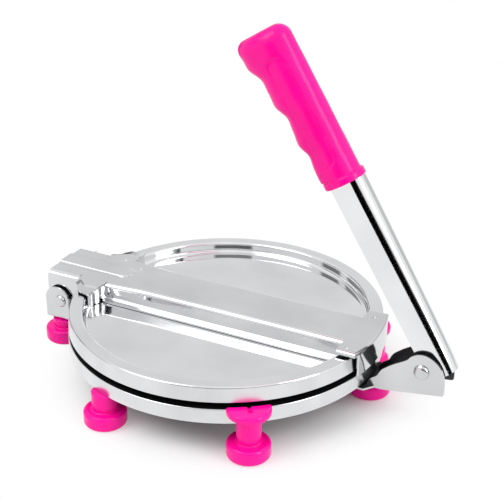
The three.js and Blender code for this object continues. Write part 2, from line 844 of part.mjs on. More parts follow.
const hinge = new THREE.Group();
hinge.position.set(hingeX, 0, hingeZ);
for (const [side, turn] of [['near', Math.PI], ['far', 0]]) {
  const pin = piece(`hinge_rivet_${side}`, rivet(
    hingeRivetRadius, hingeRivetHeadRadius, hingeRivetHeadDepth, hingeRivetTailRadius, hingeRivetTailDepth,
    hingeBracketHalf + fitGap, strapEndHalf - strapSheet - fitGap,
  ), brightSteel());
  pin.rotation.z = turn;
  hinge.add(pin);
  const washer = piece(`hinge_washer_${side}`, ring(
    hingeRivetRadius + fitGap,
    hingeWasherRadius,
    strapEndHalf + fitGap,
    hingeBracketHalf - bracketSheet - fitGap,
  ), brightSteel());
  washer.rotation.z = turn;
  hinge.add(washer);
}
base.add(hinge);

const pivot = new THREE.Group();
pivot.position.set(pivotX, 0, pivotZ);
pivot.add(piece('lever_rivet', rivet(
  pivotRivetRadius, pivotRivetHeadRadius, pivotRivetHeadDepth, pivotRivetHeadRadius, pivotRivetHeadDepth / 2,
  bracketHalf + fitGap, -bracketHalf - fitGap,
).rotate([0, 0, 180]), brightSteel()));
for (const [side, turn] of [['near', Math.PI], ['far', 0]]) {
  const washer = piece(`lever_washer_${side}`, ring(
    pivotRivetRadius + fitGap,
    pivotWasherRadius,
    leverHalf + fitGap,
    bracketHalf - bracketSheet - fitGap,
  ), brightSteel());
  washer.rotation.z = turn;
  pivot.add(washer);
}
base.add(pivot);
group.add(base);

const lid = new THREE.Group();
lid.add(piece('lid_plate', lidPlate(), steel()));
lid.add(piece('lid_strap', lidStrap(), steel()));
group.add(lid);

const lever = new THREE.Group();
lever.position.set(pivotX, 0, pivotZ);
lever.rotation.y = THREE.MathUtils.degToRad(leverLean);
lever.add(piece('lever_arm', leverArm(), steel()));
const spacerHalf = leverHalf - leverSheet - fitGap;
lever.add(piece('lever_spacer', ring(
  pivotRivetRadius + fitGap, pivotSpacerRadius, -spacerHalf, spacerHalf,
), brightSteel()));
lever.add(piece('grip', grip(), pink()));
group.add(lever);

// The origin goes to the middle of the part's box, on the floor
group.updateMatrixWorld(true);
const box = new THREE.Box3().setFromObject(group);
group.position.set(-(box.min.x + box.max.x) / 2, -(box.min.y + box.max.y) / 2, -box.min.z);
group.updateMatrixWorld(true);

export default group;
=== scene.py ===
"""Tortilla press: the pieces that show, with their materials, the floor, the light and the camera."""

import math

import bmesh
import bpy
from mathutils import Matrix, Vector


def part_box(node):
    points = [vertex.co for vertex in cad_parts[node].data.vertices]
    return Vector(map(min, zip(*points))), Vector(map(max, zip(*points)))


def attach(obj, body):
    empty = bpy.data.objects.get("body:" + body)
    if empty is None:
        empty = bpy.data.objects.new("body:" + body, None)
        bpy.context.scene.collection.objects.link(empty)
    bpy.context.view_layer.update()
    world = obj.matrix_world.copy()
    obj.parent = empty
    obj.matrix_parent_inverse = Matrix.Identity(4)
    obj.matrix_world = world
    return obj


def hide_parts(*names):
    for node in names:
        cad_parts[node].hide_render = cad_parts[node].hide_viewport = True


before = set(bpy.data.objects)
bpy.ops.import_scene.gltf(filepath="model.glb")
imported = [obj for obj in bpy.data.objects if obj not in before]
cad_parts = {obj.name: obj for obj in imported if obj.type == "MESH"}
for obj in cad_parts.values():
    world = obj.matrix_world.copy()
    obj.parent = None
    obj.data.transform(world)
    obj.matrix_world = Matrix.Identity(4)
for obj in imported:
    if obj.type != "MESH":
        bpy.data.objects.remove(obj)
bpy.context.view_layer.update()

MM = 0.001


def low_high(node):
    low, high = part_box(node)
    return Vector(low) / MM, Vector(high) / MM


# Places read from the frame, in millimetres. X is measured from the plates' own axis, at PLATE_X.
LID_LOW, LID_HIGH = low_high("lid_plate")
BASE_LOW, BASE_HIGH = low_high("base_plate")
PLATE_X = (LID_LOW.x + LID_HIGH.x) / 2
LID_R = (LID_HIGH.x - LID_LOW.x) / 2
BASE_R = (BASE_HIGH.x - BASE_LOW.x) / 2
LID_TOP = LID_HIGH.z
LID_SKIRT = LID_LOW.z
PLATFORM = BASE_HIGH.z
BASE_SKIRT = BASE_LOW.z


def pin_at(node):
    """Where a pin that runs across the press has its axis, as x and z."""
    low, high = low_high(node)
    return (low.x + high.x) / 2 - PLATE_X, (low.z + high.z) / 2


HINGE_X, HINGE_Z = pin_at("hinge_washer_near")
PIVOT_X, PIVOT_Z = pin_at("lever_washer_near")

# Sizes that the solids share with this scene
PLATE_SHEET = 1.0
STRAP_SHEET = 1.2
GAP = 0.3
BASE_TOP = LID_SKIRT - 3.15
PLATFORM_R = 84
DISH_R = 85.7
DISH_FLOOR = LID_TOP - 6.4
STRAP_TOP = LID_TOP + 3.8
OVER_RING = LID_TOP + GAP
LEAN = math.radians(-31.8)
LEVER_PLACE = Matrix.Translation((PIVOT_X, 0, PIVOT_Z)) @ Matrix.Rotation(LEAN, 4, "Y")

# The dish dips a little beside the strap: from here to here off the middle, and this deep
DIP_FROM, DIP_TO, DIP_DEPTH = 37.5, 21.5, 1.1


# Materials

def srgb(text):
    """An sRGB hex colour as the linear colour that a shader takes."""
    parts = [int(text[i:i + 2], 16) / 255 for i in (1, 3, 5)]
    return tuple(p / 12.92 if p <= 0.04045 else ((p + 0.055) / 1.055) ** 2.4 for p in parts) + (1.0,)


def add(tree, kind, inputs=None, **settings):
    """A node with its settings; an input takes a number or another node's socket."""
    node = tree.nodes.new(kind)
    for name, value in settings.items():
        setattr(node, name, value)
    for socket, value in (inputs or {}).items():
        if isinstance(value, bpy.types.NodeSocket):
            tree.links.new(value, node.inputs[socket])
        else:
            node.inputs[socket].default_value = value
    return node


def per(size):
    """Texture scale, in metres, of a pattern whose marks are this many millimetres across."""
    return 1 / (size * MM)


def new_material(name):
    """A material with its node tree and its shader."""
    material = bpy.data.materials.new(name)
    material.use_nodes = True
    return material, material.node_tree, material.node_tree.nodes["Principled BSDF"]


def stainless(name, bright, dull, rough, wander, line, stretch, depth):
    """Rolled stainless sheet, buffed: the buffing leaves fine lines one way and slow changes of tone."""
    material, tree, shader = new_material(name)
    shader.inputs["Metallic"].default_value = 1
    place = add(tree, "ShaderNodeTexCoord").outputs["Object"]
    along = add(tree, "ShaderNodeMapping", {"Vector": place, "Scale": stretch}).outputs["Vector"]
    lines = add(tree, "ShaderNodeTexNoise", {"Vector": along, "Scale": per(line), "Detail": 3.0}).outputs[0]
    cloud = add(tree, "ShaderNodeTexNoise", {"Vector": place, "Scale": per(38), "Detail": 2.0}).outputs[0]
    share = add(tree, "ShaderNodeMapRange", {0: cloud, 1: 0.3, 2: 0.75, 3: 0.0, 4: 1.0}).outputs[0]
    tone = add(tree, "ShaderNodeMix", {"Factor": share, "A": srgb(bright), "B": srgb(dull)}, data_type="RGBA")
    gloss = add(tree, "ShaderNodeMapRange", {0: lines, 1: 0.25, 2: 0.75, 3: rough, 4: rough + wander})
    relief = add(tree, "ShaderNodeBump", {"Height": lines, "Strength": depth, "Distance": 0.01 * MM})
    tree.links.new(tone.outputs["Result"], shader.inputs["Base Color"])
    tree.links.new(gloss.outputs["Result"], shader.inputs["Roughness"])
    tree.links.new(relief.outputs["Normal"], shader.inputs["Normal"])
    return material


def polypropylene(name, bright, deep, rough, skin):
    """Injection-moulded polypropylene: glossy, with pigment flow in its colour and an orange-peel skin."""
    material, tree, shader = new_material(name)
    shader.inputs["Specular IOR Level"].default_value = 0.22
    place = add(tree, "ShaderNodeTexCoord").outputs["Object"]
    flow = add(tree, "ShaderNodeTexNoise", {"Vector": place, "Scale": per(26), "Detail": 2.0}).outputs[0]
    peel = add(tree, "ShaderNodeTexNoise", {"Vector": place, "Scale": per(skin), "Detail": 2.0}).outputs[0]
    share = add(tree, "ShaderNodeMapRange", {0: flow, 1: 0.35, 2: 0.75, 3: 0.0, 4: 1.0}).outputs[0]
    tone = add(tree, "ShaderNodeMix", {"Factor": share, "A": srgb(bright), "B": srgb(deep)}, data_type="RGBA")
    gloss = add(tree, "ShaderNodeMapRange", {0: peel, 1: 0.3, 2: 0.7, 3: rough, 4: rough + 0.06})
    relief = add(tree, "ShaderNodeBump", {"Height": peel, "Strength": 0.05, "Distance": 0.02 * MM})
    tree.links.new(tone.outputs["Result"], shader.inputs["Base Color"])
    tree.links.new(gloss.outputs["Result"], shader.inputs["Roughness"])
    tree.links.new(relief.outputs["Normal"], shader.inputs["Normal"])
    return material


# Each steel: bright and dull tone, roughness and its spread, width of the buffing lines in mm, how they stretch
# along each axis, and how deep they are.
# Mirror-buffed stainless of the two pressed plates: crisp reflections, hardly any lines
PLATE_STEEL = stainless("stainless_mirror_buffed", "#E9EAEB", "#DCDDDF", 0.045, 0.03, 1.4, (1, 1, 1), 0.15)
# The plates' skirts, brushed as the plate turned, so that they only reflect softly
SKIRT_STEEL = stainless("stainless_brushed_skirt", "#EDEEEF", "#D3D4D6", 0.2, 0.08, 2.2, (1, 1, 0.05), 0.35)
# Faces that no buffing wheel reached keep the dull grey of the mill, painted much darker as shade, so the slot
# between the plates is dark
MILL_AND_SHADE_STEEL = stainless("stainless_mill_finish_painted_shade", "#4A4B4D", "#3E3F40", 0.42, 0.1, 1.2, (1, 1, 1), 0.5)
# Strap, cut along the coil: the same gloss with rolling lines along it, drawn coarse enough to show
STRAP_STEEL = stainless("stainless_rolled_strap", "#DEDFE0", "#CFD0D2", 0.08, 0.05, 0.9, (0.04, 1, 1), 0.3)
# Bent brackets, less buffed: softer reflections with short lines
BRACKET_STEEL = stainless("stainless_rolled_bracket", "#DADBDC", "#CBCCCE", 0.13, 0.06, 0.9, (0.1, 1, 1), 0.3)
# Folded lever: buffed along its length
LEVER_STEEL = stainless("stainless_buffed_lever", "#EDEEEF", "#E3E4E5", 0.08, 0.03, 1.1, (1, 1, 0.06), 0.05)
# Turned and headed rivets, washers and screws: small, bright, with fine turning marks
FIXING_STEEL = stainless("stainless_turned_fixing", "#DCDDDE", "#C6C7C9", 0.12, 0.05, 0.6, (1, 1, 1), 0.4)
# Each plastic: bright and deep tone, roughness, and the size of its orange peel in mm, drawn coarse enough to show.
# Pink polypropylene of the feet: tooled smooth, so it shines
FOOT_PINK = polypropylene("polypropylene_foot", "#FF0C9C", "#F60894", 0.15, 1.9)
# Pink polypropylene of the grip: a slightly softer skin for the hand
GRIP_PINK = polypropylene("polypropylene_grip", "#FF0898", "#F80690", 0.2, 1.4)


# Shapes, all drawn in millimetres

def line(points, reaches=(), closed=False, steps=8):
    """A line through a few points; each reach, by the point's number, rounds that corner."""
    bm = bmesh.new()
    corners = [bm.verts.new(p) for p in points]
    for pair in zip(corners, corners[1:] + corners[:1] if closed else corners[1:]):
        bm.edges.new(pair)
    for number, reach in dict(reaches).items():
        bmesh.ops.bevel(bm, geom=[corners[number]], offset=reach, segments=steps, profile=0.5,
                        affect="VERTICES", material=-1)
    return bm


def new_verts(made):
    """The vertices among what an operator made."""
    return [part for part in made["geom"] if isinstance(part, bmesh.types.BMVert)]


def new_edges(made):
    """The edges among what an operator made."""
    return [part for part in made["geom"] if isinstance(part, bmesh.types.BMEdge)]


def carried(bm, way, cuts=0):
    """Each edge carried along a way, as a sheet, cut across in equal steps."""
    made = bmesh.ops.extrude_edge_only(bm, edges=bm.edges[:])
    bmesh.ops.translate(bm, vec=way, verts=new_verts(made))
    if cuts:
        length = Vector(way).length
        long = [e for e in bm.edges if abs(abs((e.verts[0].co - e.verts[1].co).dot(way)) / length - length) < 0.01]
        bmesh.ops.subdivide_edges(bm, edges=long, cuts=cuts, use_grid_fill=True)
    return bm


def spun(bm, sides, axis=(0, 0, 1), centre=(0, 0, 0), angle=math.tau):
    """The line turned about an axis."""
    bmesh.ops.spin(bm, geom=bm.verts[:] + bm.edges[:], cent=centre, axis=axis, dvec=(0, 0, 0), angle=angle,
                   steps=sides, use_merge=angle == math.tau, use_duplicate=False)
    bmesh.ops.remove_doubles(bm, verts=bm.verts, dist=0.001)
    bmesh.ops.recalc_face_normals(bm, faces=bm.faces)
    return bm


def walled(bm, thickness, outer):
    """The sheet with its wall, put on the side away from the outer direction."""
    bmesh.ops.recalc_face_normals(bm, faces=bm.faces)
    looks = max(bm.faces, key=lambda face: abs(face.normal.dot(outer)) * face.calc_area())
    if looks.normal.dot(outer) < 0:
        bmesh.ops.reverse_faces(bm, faces=bm.faces)
    bmesh.ops.solidify(bm, geom=bm.faces[:], thickness=thickness)
    return bm


def filled(bm, way):
    """A closed line filled and carried along a way, as a solid."""
    face = bmesh.ops.contextual_create(bm, geom=bm.edges[:])["faces"]
    made = bmesh.ops.extrude_face_region(bm, geom=face)
    bmesh.ops.translate(bm, vec=way, verts=new_verts(made))
    bmesh.ops.recalc_face_normals(bm, faces=bm.faces)
    return bm


def joined(*parts):
    """Several shapes as one."""
    whole = bmesh.new()
    for part in parts:
        mesh = bpy.data.meshes.new("part")
        part.to_mesh(mesh)
        part.free()
        whole.from_mesh(mesh)
        bpy.data.meshes.remove(mesh)
    return whole


def mirrored(make):
    """A part and its twin on the other side of the middle plane."""
    parts = [make(-1), make(1)]
    return joined(*parts)


def moved(bm, matrix):
    """The whole shape put through a matrix."""
    bmesh.ops.transform(bm, matrix=matrix, verts=bm.verts)
    return bm


def to_frame(bm):
    """From the drawing, in millimetres about the plates' axis, to the frame in metres."""
    bmesh.ops.translate(bm, vec=(PLATE_X, 0, 0), verts=bm.verts)
    bmesh.ops.scale(bm, vec=(MM, MM, MM), verts=bm.verts)


def as_object(name, bm):
    """The shape as an object in the scene; the drawing is used up."""
    mesh = bpy.data.meshes.new(name)
    bm.to_mesh(mesh)
    bm.free()
    piece = bpy.data.objects.new(name, mesh)
    bpy.context.collection.objects.link(piece)
    return piece


def finish_piece(name, bm, material, body, nodes=(), smooth=35, edge=0.0, others=(), which=None):
    """Broken edges, millimetres to metres, smooth over bends, riding on its body."""
    bmesh.ops.remove_doubles(bm, verts=bm.verts, dist=0.0005)
    bmesh.ops.recalc_face_normals(bm, faces=bm.faces)
    if edge:
        sharp = [e for e in bm.edges if len(e.link_faces) == 2 and e.calc_face_angle(0) > math.radians(55)]
        bmesh.ops.bevel(bm, geom=sharp, offset=edge, segments=2, profile=0.5, affect="EDGES", material=-1,
                        clamp_overlap=True)
    if which:
        for face in bm.faces:
            face.material_index = which(face.calc_center_median(), face.normal)
    to_frame(bm)
    piece = as_object(name, bm)
    for each in (material, *others):
        piece.data.materials.append(each)
    piece.data.shade_smooth()
    piece.data.set_sharp_from_angle(angle=math.radians(smooth))
    weighted = piece.modifiers.new("weighted", "WEIGHTED_NORMAL")
    weighted.keep_sharp = True
    weighted.weight = 80
    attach(piece, body)
    for node in nodes:
        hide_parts(node)
    return piece


# Plates

PLATE_SIDES = 240
# Past this far from the axis a plate's faces are those of its rim
LID_RIM, BASE_RIM = DISH_R + 4, PLATFORM_R + 4
# The lid's skirt is this much wider below than above, and the base's ring falls this much to its edge
LID_TAPER, BASE_DROP = 0.8, 0.6


def ramp(value, start, end):
    """Smooth step from 0 at the start to 1 at the end."""
    share = min(max((value - start) / (end - start), 0), 1)
    return share * share * (3 - 2 * share)


def dip(point):
    """How far the dish floor lies lower beside the strap; the bend of its wall takes it up."""
    share = min(max((DIP_FROM - abs(point.y)) / (DIP_FROM - DIP_TO), 0), 1)
    return DIP_DEPTH * share * ramp(Vector((point.x, point.y)).length, DISH_R + 0.2, DISH_R - 3.5)


def make_lid_plate():
    """Pressed lid: dished middle, flat ring and turned-down skirt."""
    bm = line([(0, 0, DISH_FLOOR), (DISH_R, 0, DISH_FLOOR), (DISH_R, 0, LID_TOP),
               (LID_R - LID_TAPER, 0, LID_TOP), (LID_R, 0, LID_SKIRT + 0.5)], {1: 2.3, 2: 1.7, 3: 1.0})
    floor = [e for e in bm.edges if max(v.co.x for v in e.verts) < DISH_R - 2 and e.calc_length() > 20]
    bmesh.ops.subdivide_edges(bm, edges=floor, cuts=40)
    walled(spun(bm, PLATE_SIDES), PLATE_SHEET, Vector((0, 0, 1)))
    for vert in bm.verts:
        if vert.co.z < DISH_FLOOR + 2.2:
            vert.co.z -= dip(vert.co) if vert.co.xy.length < DISH_R else 0

    def finish(middle, normal):
        # 1 is the brushed skirt, 2 the mill finish under the rim, painted dark as shade, and the pressing face is
        # buffed
        outward = normal.xy.dot(middle.xy.normalized())
        rim = middle.xy.length > LID_RIM
        if abs(normal.z) < 0.25 and outward > 0 and rim:
            return 1
        if normal.z < -0.1 and middle.xy.length < DISH_R - 4:
            return 0
        return 2 if normal.z < -0.1 or outward < -0.5 and rim else 0
    return finish_piece("lid_plate_pressed", bm, PLATE_STEEL, "lid", ["lid_plate"],
                        others=(SKIRT_STEEL, MILL_AND_SHADE_STEEL), which=finish)


def make_base_plate():
    """Pressed base: raised pressing face, lower ring and turned-down skirt."""
    bm = line([(0, 0, PLATFORM), (PLATFORM_R, 0, PLATFORM), (PLATFORM_R, 0, BASE_TOP),
               (BASE_R, 0, BASE_TOP - BASE_DROP), (BASE_R, 0, BASE_SKIRT)], {1: 1.6, 2: 1.6, 3: 0.5})
    walled(spun(bm, PLATE_SIDES), PLATE_SHEET, Vector((0, 0, 1)))

    def finish(middle, normal):
        # 1 is the brushed skirt, 2 the mill finish of the lower ring and of the underside, painted dark as shade in
        # the slot between the plates
        if middle.xy.length < BASE_R - 0.9 and middle.z < PLATFORM - 0.4 or normal.z < -0.1:
            return 2
        outward = normal.xy.dot(middle.xy.normalized())
        return 1 if abs(normal.z) < 0.25 and outward > 0 and middle.xy.length > BASE_RIM else 0
    return finish_piece("base_plate_pressed", bm, PLATE_STEEL, "base", ["base_plate"],
                        others=(SKIRT_STEEL, MILL_AND_SHADE_STEEL), which=finish)


# Lid strap

# Places along the strap, from the hinge to the cap
STRAP_LEFT, EAR_FOLD_END, WING_START, HAT_START, HAT_END = -117, -94.6, -93.9, -74.6, 82.3
# Half widths: over the hinge, of the wings' flat top, and of the wings at their outer edge
END_HALF, WING_CREST, WING_BRIM = 19.7, 19, 22.5
WING_OVER = LID_TOP + 2.3
# Hat section: half widths of its flange, of its foot and of its top
HAT_FLANGE, HAT_FOOT, HAT_CREST = 22.3, 18, 16.4
# Hinge ears: their round end, and the shoulders above it
EAR_R, EAR_SHOULDER = 8.4, 6.4
# Cap: how far it stands off the rim, its outer radius, half widths of plate and skirt, its round brim and lower edge
CAP_OFF = 1.3
CAP_R = LID_R + CAP_OFF + STRAP_SHEET
CAP_HALF, CAP_SKIRT_HALF = 27, 23.2
CAP_TURN = math.asin(CAP_SKIRT_HALF / CAP_R)
CAP_ROUND = 2.2
CAP_DROP = BASE_TOP + 0.9
RIB_RIGHT, RIB_HALF, RIB_RISE = -65.4, 6.7, 1.5
UP = Vector((0, 0, 1))


def hat():
    """Hat section in the dish; its top grows wider towards the wings."""
    foot = DISH_FLOOR - DIP_DEPTH + GAP + STRAP_SHEET
    section = [(HAT_START, y, z) for y, z in (
        (-HAT_FLANGE, foot), (-HAT_FOOT, foot), (-HAT_CREST, STRAP_TOP),
        (HAT_CREST, STRAP_TOP), (HAT_FOOT, foot), (HAT_FLANGE, foot))]
    bm = carried(line(section, {1: 1.3, 2: 2.5, 3: 2.5, 4: 1.3}), (HAT_END - HAT_START, 0, 0), 40)
    for vert in bm.verts:
        raised = ramp(vert.co.z, foot, STRAP_TOP - 2)
        vert.co.y += math.copysign(2.4 * ramp(vert.co.x, -42, -80) * raised, vert.co.y)
    return walled(bm, STRAP_SHEET, UP)


def strap_end():
    """The strap past the rim, folded down on both sides into the hinge ears."""
    low = OVER_RING - 1.7
    # each ear overlaps the fold by a hair, so that the two shells stay apart and shade flat
    ear_top = low + 0.01
    section = [(STRAP_LEFT, y, z) for y, z in (
        (-END_HALF, low), (-END_HALF, STRAP_TOP), (END_HALF, STRAP_TOP), (END_HALF, low))]
    fold = walled(carried(line(section, {1: 4.6, 2: 4.6}), (EAR_FOLD_END - STRAP_LEFT, 0, 0)), STRAP_SHEET, UP)

    def ear(side):
        left, right = HINGE_X - EAR_R, HINGE_X + EAR_R
        outline = [(x, side * END_HALF, z) for x, z in (
            (STRAP_LEFT, ear_top), (STRAP_LEFT, HINGE_Z + EAR_SHOULDER), (left, HINGE_Z),
            (left, HINGE_Z - EAR_R), (right, HINGE_Z - EAR_R), (right, HINGE_Z),
            (EAR_FOLD_END, HINGE_Z + EAR_SHOULDER), (EAR_FOLD_END, ear_top))]
        bm = line(outline, {1: 1.5, 2: 2, 3: 8, 4: 8, 5: 2, 6: 1.5}, closed=True)
        return filled(bm, (0, -side * STRAP_SHEET, 0))
    half = END_HALF - 4.7
    link = line([(EAR_FOLD_END, -half, STRAP_TOP), (WING_START, -half, STRAP_TOP), (WING_START, half, STRAP_TOP),
                 (EAR_FOLD_END, half, STRAP_TOP)], closed=True)
    return joined(fold, mirrored(ear), filled(link, (0, 0, -STRAP_SHEET)))


def wings():
    """Wings that widen and slope down over the ring, and their ends that drop into the dish."""
    section = [(WING_START, y, z) for y, z in (
        (-WING_BRIM, WING_OVER), (-WING_CREST, STRAP_TOP), (WING_CREST, STRAP_TOP), (WING_BRIM, WING_OVER))]
    bm = carried(line(section, {1: 1.7, 2: 1.7}), (HAT_START - WING_START, 0, 0), 24)
    for vert in bm.verts:
        low = ramp(vert.co.z, STRAP_TOP - 0.6, WING_OVER)
        crest = 5.5 * ramp(vert.co.x, WING_START, -84)
        brim = 9 * ramp(vert.co.x, WING_START, -85) + 1.5 * ramp(vert.co.x, -85, -76)
        vert.co.y += math.copysign(crest + (brim - crest) * low, vert.co.y)
    bisected(bm, ((-77.3, -33, 0), (16, -2.4, 0)), ((-77.3, 33, 0), (16, 2.4, 0)))
    walled(bm, STRAP_SHEET, UP)

    def end_wall(side):
        # folded where the sheet is drawn down into the dish, so it mirrors in upright bands
        plan = [(x, side * y, STRAP_TOP - 1.1) for x, y in (
            (-78.2, 32.6), (-76.2, 30.2), (-77, 27.4), (-75.2, 24.6), (-76, 22), (-74.6, 19.4), (HAT_START, 17))]
        fold = carried(line(plan, {n: 0.9 for n in range(1, 6)}, steps=5), (0, 0, DISH_FLOOR - STRAP_TOP + 0.8))
        for vert in fold.verts:
            # its top follows the slope of the wing
            vert.co.z -= 1.4 * ramp(abs(vert.co.y), 24, 32) if vert.co.z > LID_TOP else 0
        return walled(fold, 0.9, Vector((1, side * 0.6, 0)))
    return joined(bm, mirrored(end_wall))


def rib():
    """Raised rib, round at its inner end and fading towards it."""
    outline = [(x, y, STRAP_TOP - 0.4) for x, y in (
        (STRAP_LEFT, -RIB_HALF), (RIB_RIGHT, -RIB_HALF), (RIB_RIGHT, RIB_HALF), (STRAP_LEFT, RIB_HALF))]
    bm = filled(line(outline, {1: RIB_HALF - 0.05, 2: RIB_HALF - 0.05}, closed=True, steps=12),
                (0, 0, RIB_RISE + 0.4))
    top = [v for v in bm.verts if v.co.z > STRAP_TOP]
    bmesh.ops.scale(bm, vec=(1, 0.86, 1), verts=top)
    bmesh.ops.translate(bm, vec=(-0.9, 0, 0), verts=[v for v in top if v.co.x > RIB_RIGHT - 8])
    crest = [e for e in bm.edges if all(v.co.z > STRAP_TOP for v in e.verts)]
    bmesh.ops.bevel(bm, geom=crest, offset=0.7, segments=4, profile=0.5, affect="EDGES", material=-1)
    for vert in bm.verts:
        if vert.co.z > STRAP_TOP:
            fade = 1 - 0.6 * (vert.co.x - STRAP_LEFT) / (RIB_RIGHT - STRAP_LEFT)
            vert.co.z = STRAP_TOP + (vert.co.z - STRAP_TOP) * fade
    return bm


def bisected(bm, *planes):
    """What is left on the inner side of each plane: a point on it, and the way out."""
    for at, way in planes:
        bmesh.ops.bisect_plane(bm, geom=bm.verts[:] + bm.edges[:] + bm.faces[:], dist=0.001, plane_co=at,
                               plane_no=way, clear_outer=True, clear_inner=False)
    return bm


def cap():
    """The end that the lever presses: a plate over the rim with turned-down edges, and a skirt below it."""
    under = LID_TOP + CAP_OFF
    plate = bmesh.new()
    bmesh.ops.create_circle(plate, cap_ends=True, radius=CAP_R, segments=PLATE_SIDES)
    bisected(plate, ((HAT_END, 0, 0), (-1, 0, 0)), ((0, -CAP_HALF, 0), (0, -1, 0)), ((0, CAP_HALF, 0), (0, 1, 0)))
    made = bmesh.ops.extrude_face_region(plate, geom=plate.faces[:])
    bmesh.ops.translate(plate, vec=(0, 0, under), verts=plate.verts)
    bmesh.ops.translate(plate, vec=(0, 0, STRAP_TOP - under), verts=new_verts(made))
    brim = [e for e in plate.edges if all(v.co.z > STRAP_TOP - 0.01 for v in e.verts)
            and sum(v.co.x for v in e.verts) > 2 * HAT_END + 0.1]
    bmesh.ops.bevel(plate, geom=brim, offset=CAP_ROUND, segments=6, profile=0.5, affect="EDGES", material=-1)
    inner = LID_R + CAP_OFF
    skirt = line([(inner, 0, CAP_DROP), (CAP_R, 0, CAP_DROP), (CAP_R, 0, under), (inner, 0, under)], closed=True)
    spun(moved(skirt, Matrix.Rotation(-CAP_TURN, 4, "Z")), 48, angle=2 * CAP_TURN)
    bmesh.ops.holes_fill(skirt, edges=[e for e in skirt.edges if e.is_boundary], sides=4)
    corners = [e for e in skirt.edges if abs(e.verts[0].co.z - e.verts[1].co.z) > 5
               and e.verts[0].co.xy.length > CAP_R - 0.1 and abs(e.verts[0].co.y) > 23]
    bmesh.ops.bevel(skirt, geom=corners, offset=0.8, segments=5, profile=0.5, affect="EDGES", material=-1)
    return joined(plate, skirt)


def weld_marks():
    """Small round marks that the spot welds and the pressing leave on top."""
    marks = []
    for x, y in ((-104.9, 16.7), (-81.1, 15.5), (-65.7, 8.8), (87.1, -22.2), (88.4, 17.8)):
        bm = bmesh.new()
        bmesh.ops.create_uvsphere(bm, u_segments=20, v_segments=12, radius=1)
        moved(bm, Matrix.Translation((x, y, STRAP_TOP - 0.05)) @ Matrix.Diagonal((1, 1, 0.7, 1)))
        marks.append(bm)
    return joined(*marks)


def make_lid_strap():
    bm = joined(hat(), strap_end(), wings(), rib(), cap(), weld_marks())

    def finish(middle, normal):
        # 1 is the mill finish, painted dark as shade: the underside, and the inside of the cap's skirt
        inward = middle.x > LID_R - 8 and normal.xy.dot(middle.xy.normalized()) < -0.5
        return 1 if normal.z < -0.3 or inward else 0
    return finish_piece("lid_strap_pressed", bm, STRAP_STEEL, "lid", ["lid_strap"], 32, 0.12,
                        others=(MILL_AND_SHADE_STEEL,), which=finish)


# Brackets

# Half widths outside: the hinge bracket's ears and the lever bracket's cheeks
BRACKET_HALF, CHEEK_HALF = 22.6, 10.2


def inner(middle, normal):
    """The faces between a bracket's two sides, which no buffing wheel reaches, painted dark as shade."""
    return 1 if normal.y * middle.y < 0 and abs(normal.y) > 0.5 or normal.z > 0.5 and abs(middle.y) < 19 else 0


WELD_TOP = BASE_TOP - PLATE_SHEET - GAP
# Where a weld strap bends up inside the skirt, where it bends flat again, and where it ends
WELD_OUTER, WELD_INNER, WELD_END = 90.6, 87.2, 78


def weld_strap(start, foot, half, side):
    """A strap that runs in flat under the skirt, then up, then flat under the plate."""
    path = [(side * x, -half, z) for x, z in (
        (start, foot), (WELD_OUTER, foot), (WELD_INNER, WELD_TOP - STRAP_SHEET),
        (WELD_END, WELD_TOP - STRAP_SHEET))]
    return walled(carried(line(path, {1: 2.2, 2: 2.2}), (0, 2 * half, 0)), STRAP_SHEET, -UP)


def make_hinge_bracket():
    """Bent channel under the hinge, with the two ears that the rivets go through."""
    left, wall, ear_right, half = HINGE_X - 11, HINGE_X + 9, HINGE_X + 6.1, BRACKET_HALF
    foot = HINGE_Z - 13.3
    shoulder = foot + 2
    # each ear overlaps the channel by a hair, so that the two shells stay apart and shade flat
    ear_foot = shoulder - 0.01
    section = [(left, y, z) for y, z in ((-half, shoulder), (-half, foot), (half, foot), (half, shoulder))]
    channel = walled(carried(line(section, {1: 1.7, 2: 1.7}), (wall - left, 0, 0)), STRAP_SHEET, -UP)

    def ear(side):
        outline = [(x, side * half, z) for x, z in (
            (left, ear_foot), (wall, ear_foot), (wall, foot + 7), (ear_right, foot + 7),
            (ear_right, HINGE_Z + 9), (left, HINGE_Z + 9))]
        bm = line(outline, {2: 2.5, 3: 1.4, 4: 8.3, 5: 8.3}, closed=True, steps=12)
        return filled(bm, (0, -side * STRAP_SHEET, 0))
    bm = joined(channel, mirrored(ear), weld_strap(-wall, foot, half - 2.7, -1))
    return finish_piece("hinge_bracket_bent", bm, BRACKET_STEEL, "base", ["hinge_bracket"], 32, 0.15,
                        others=(MILL_AND_SHADE_STEEL,), which=inner)


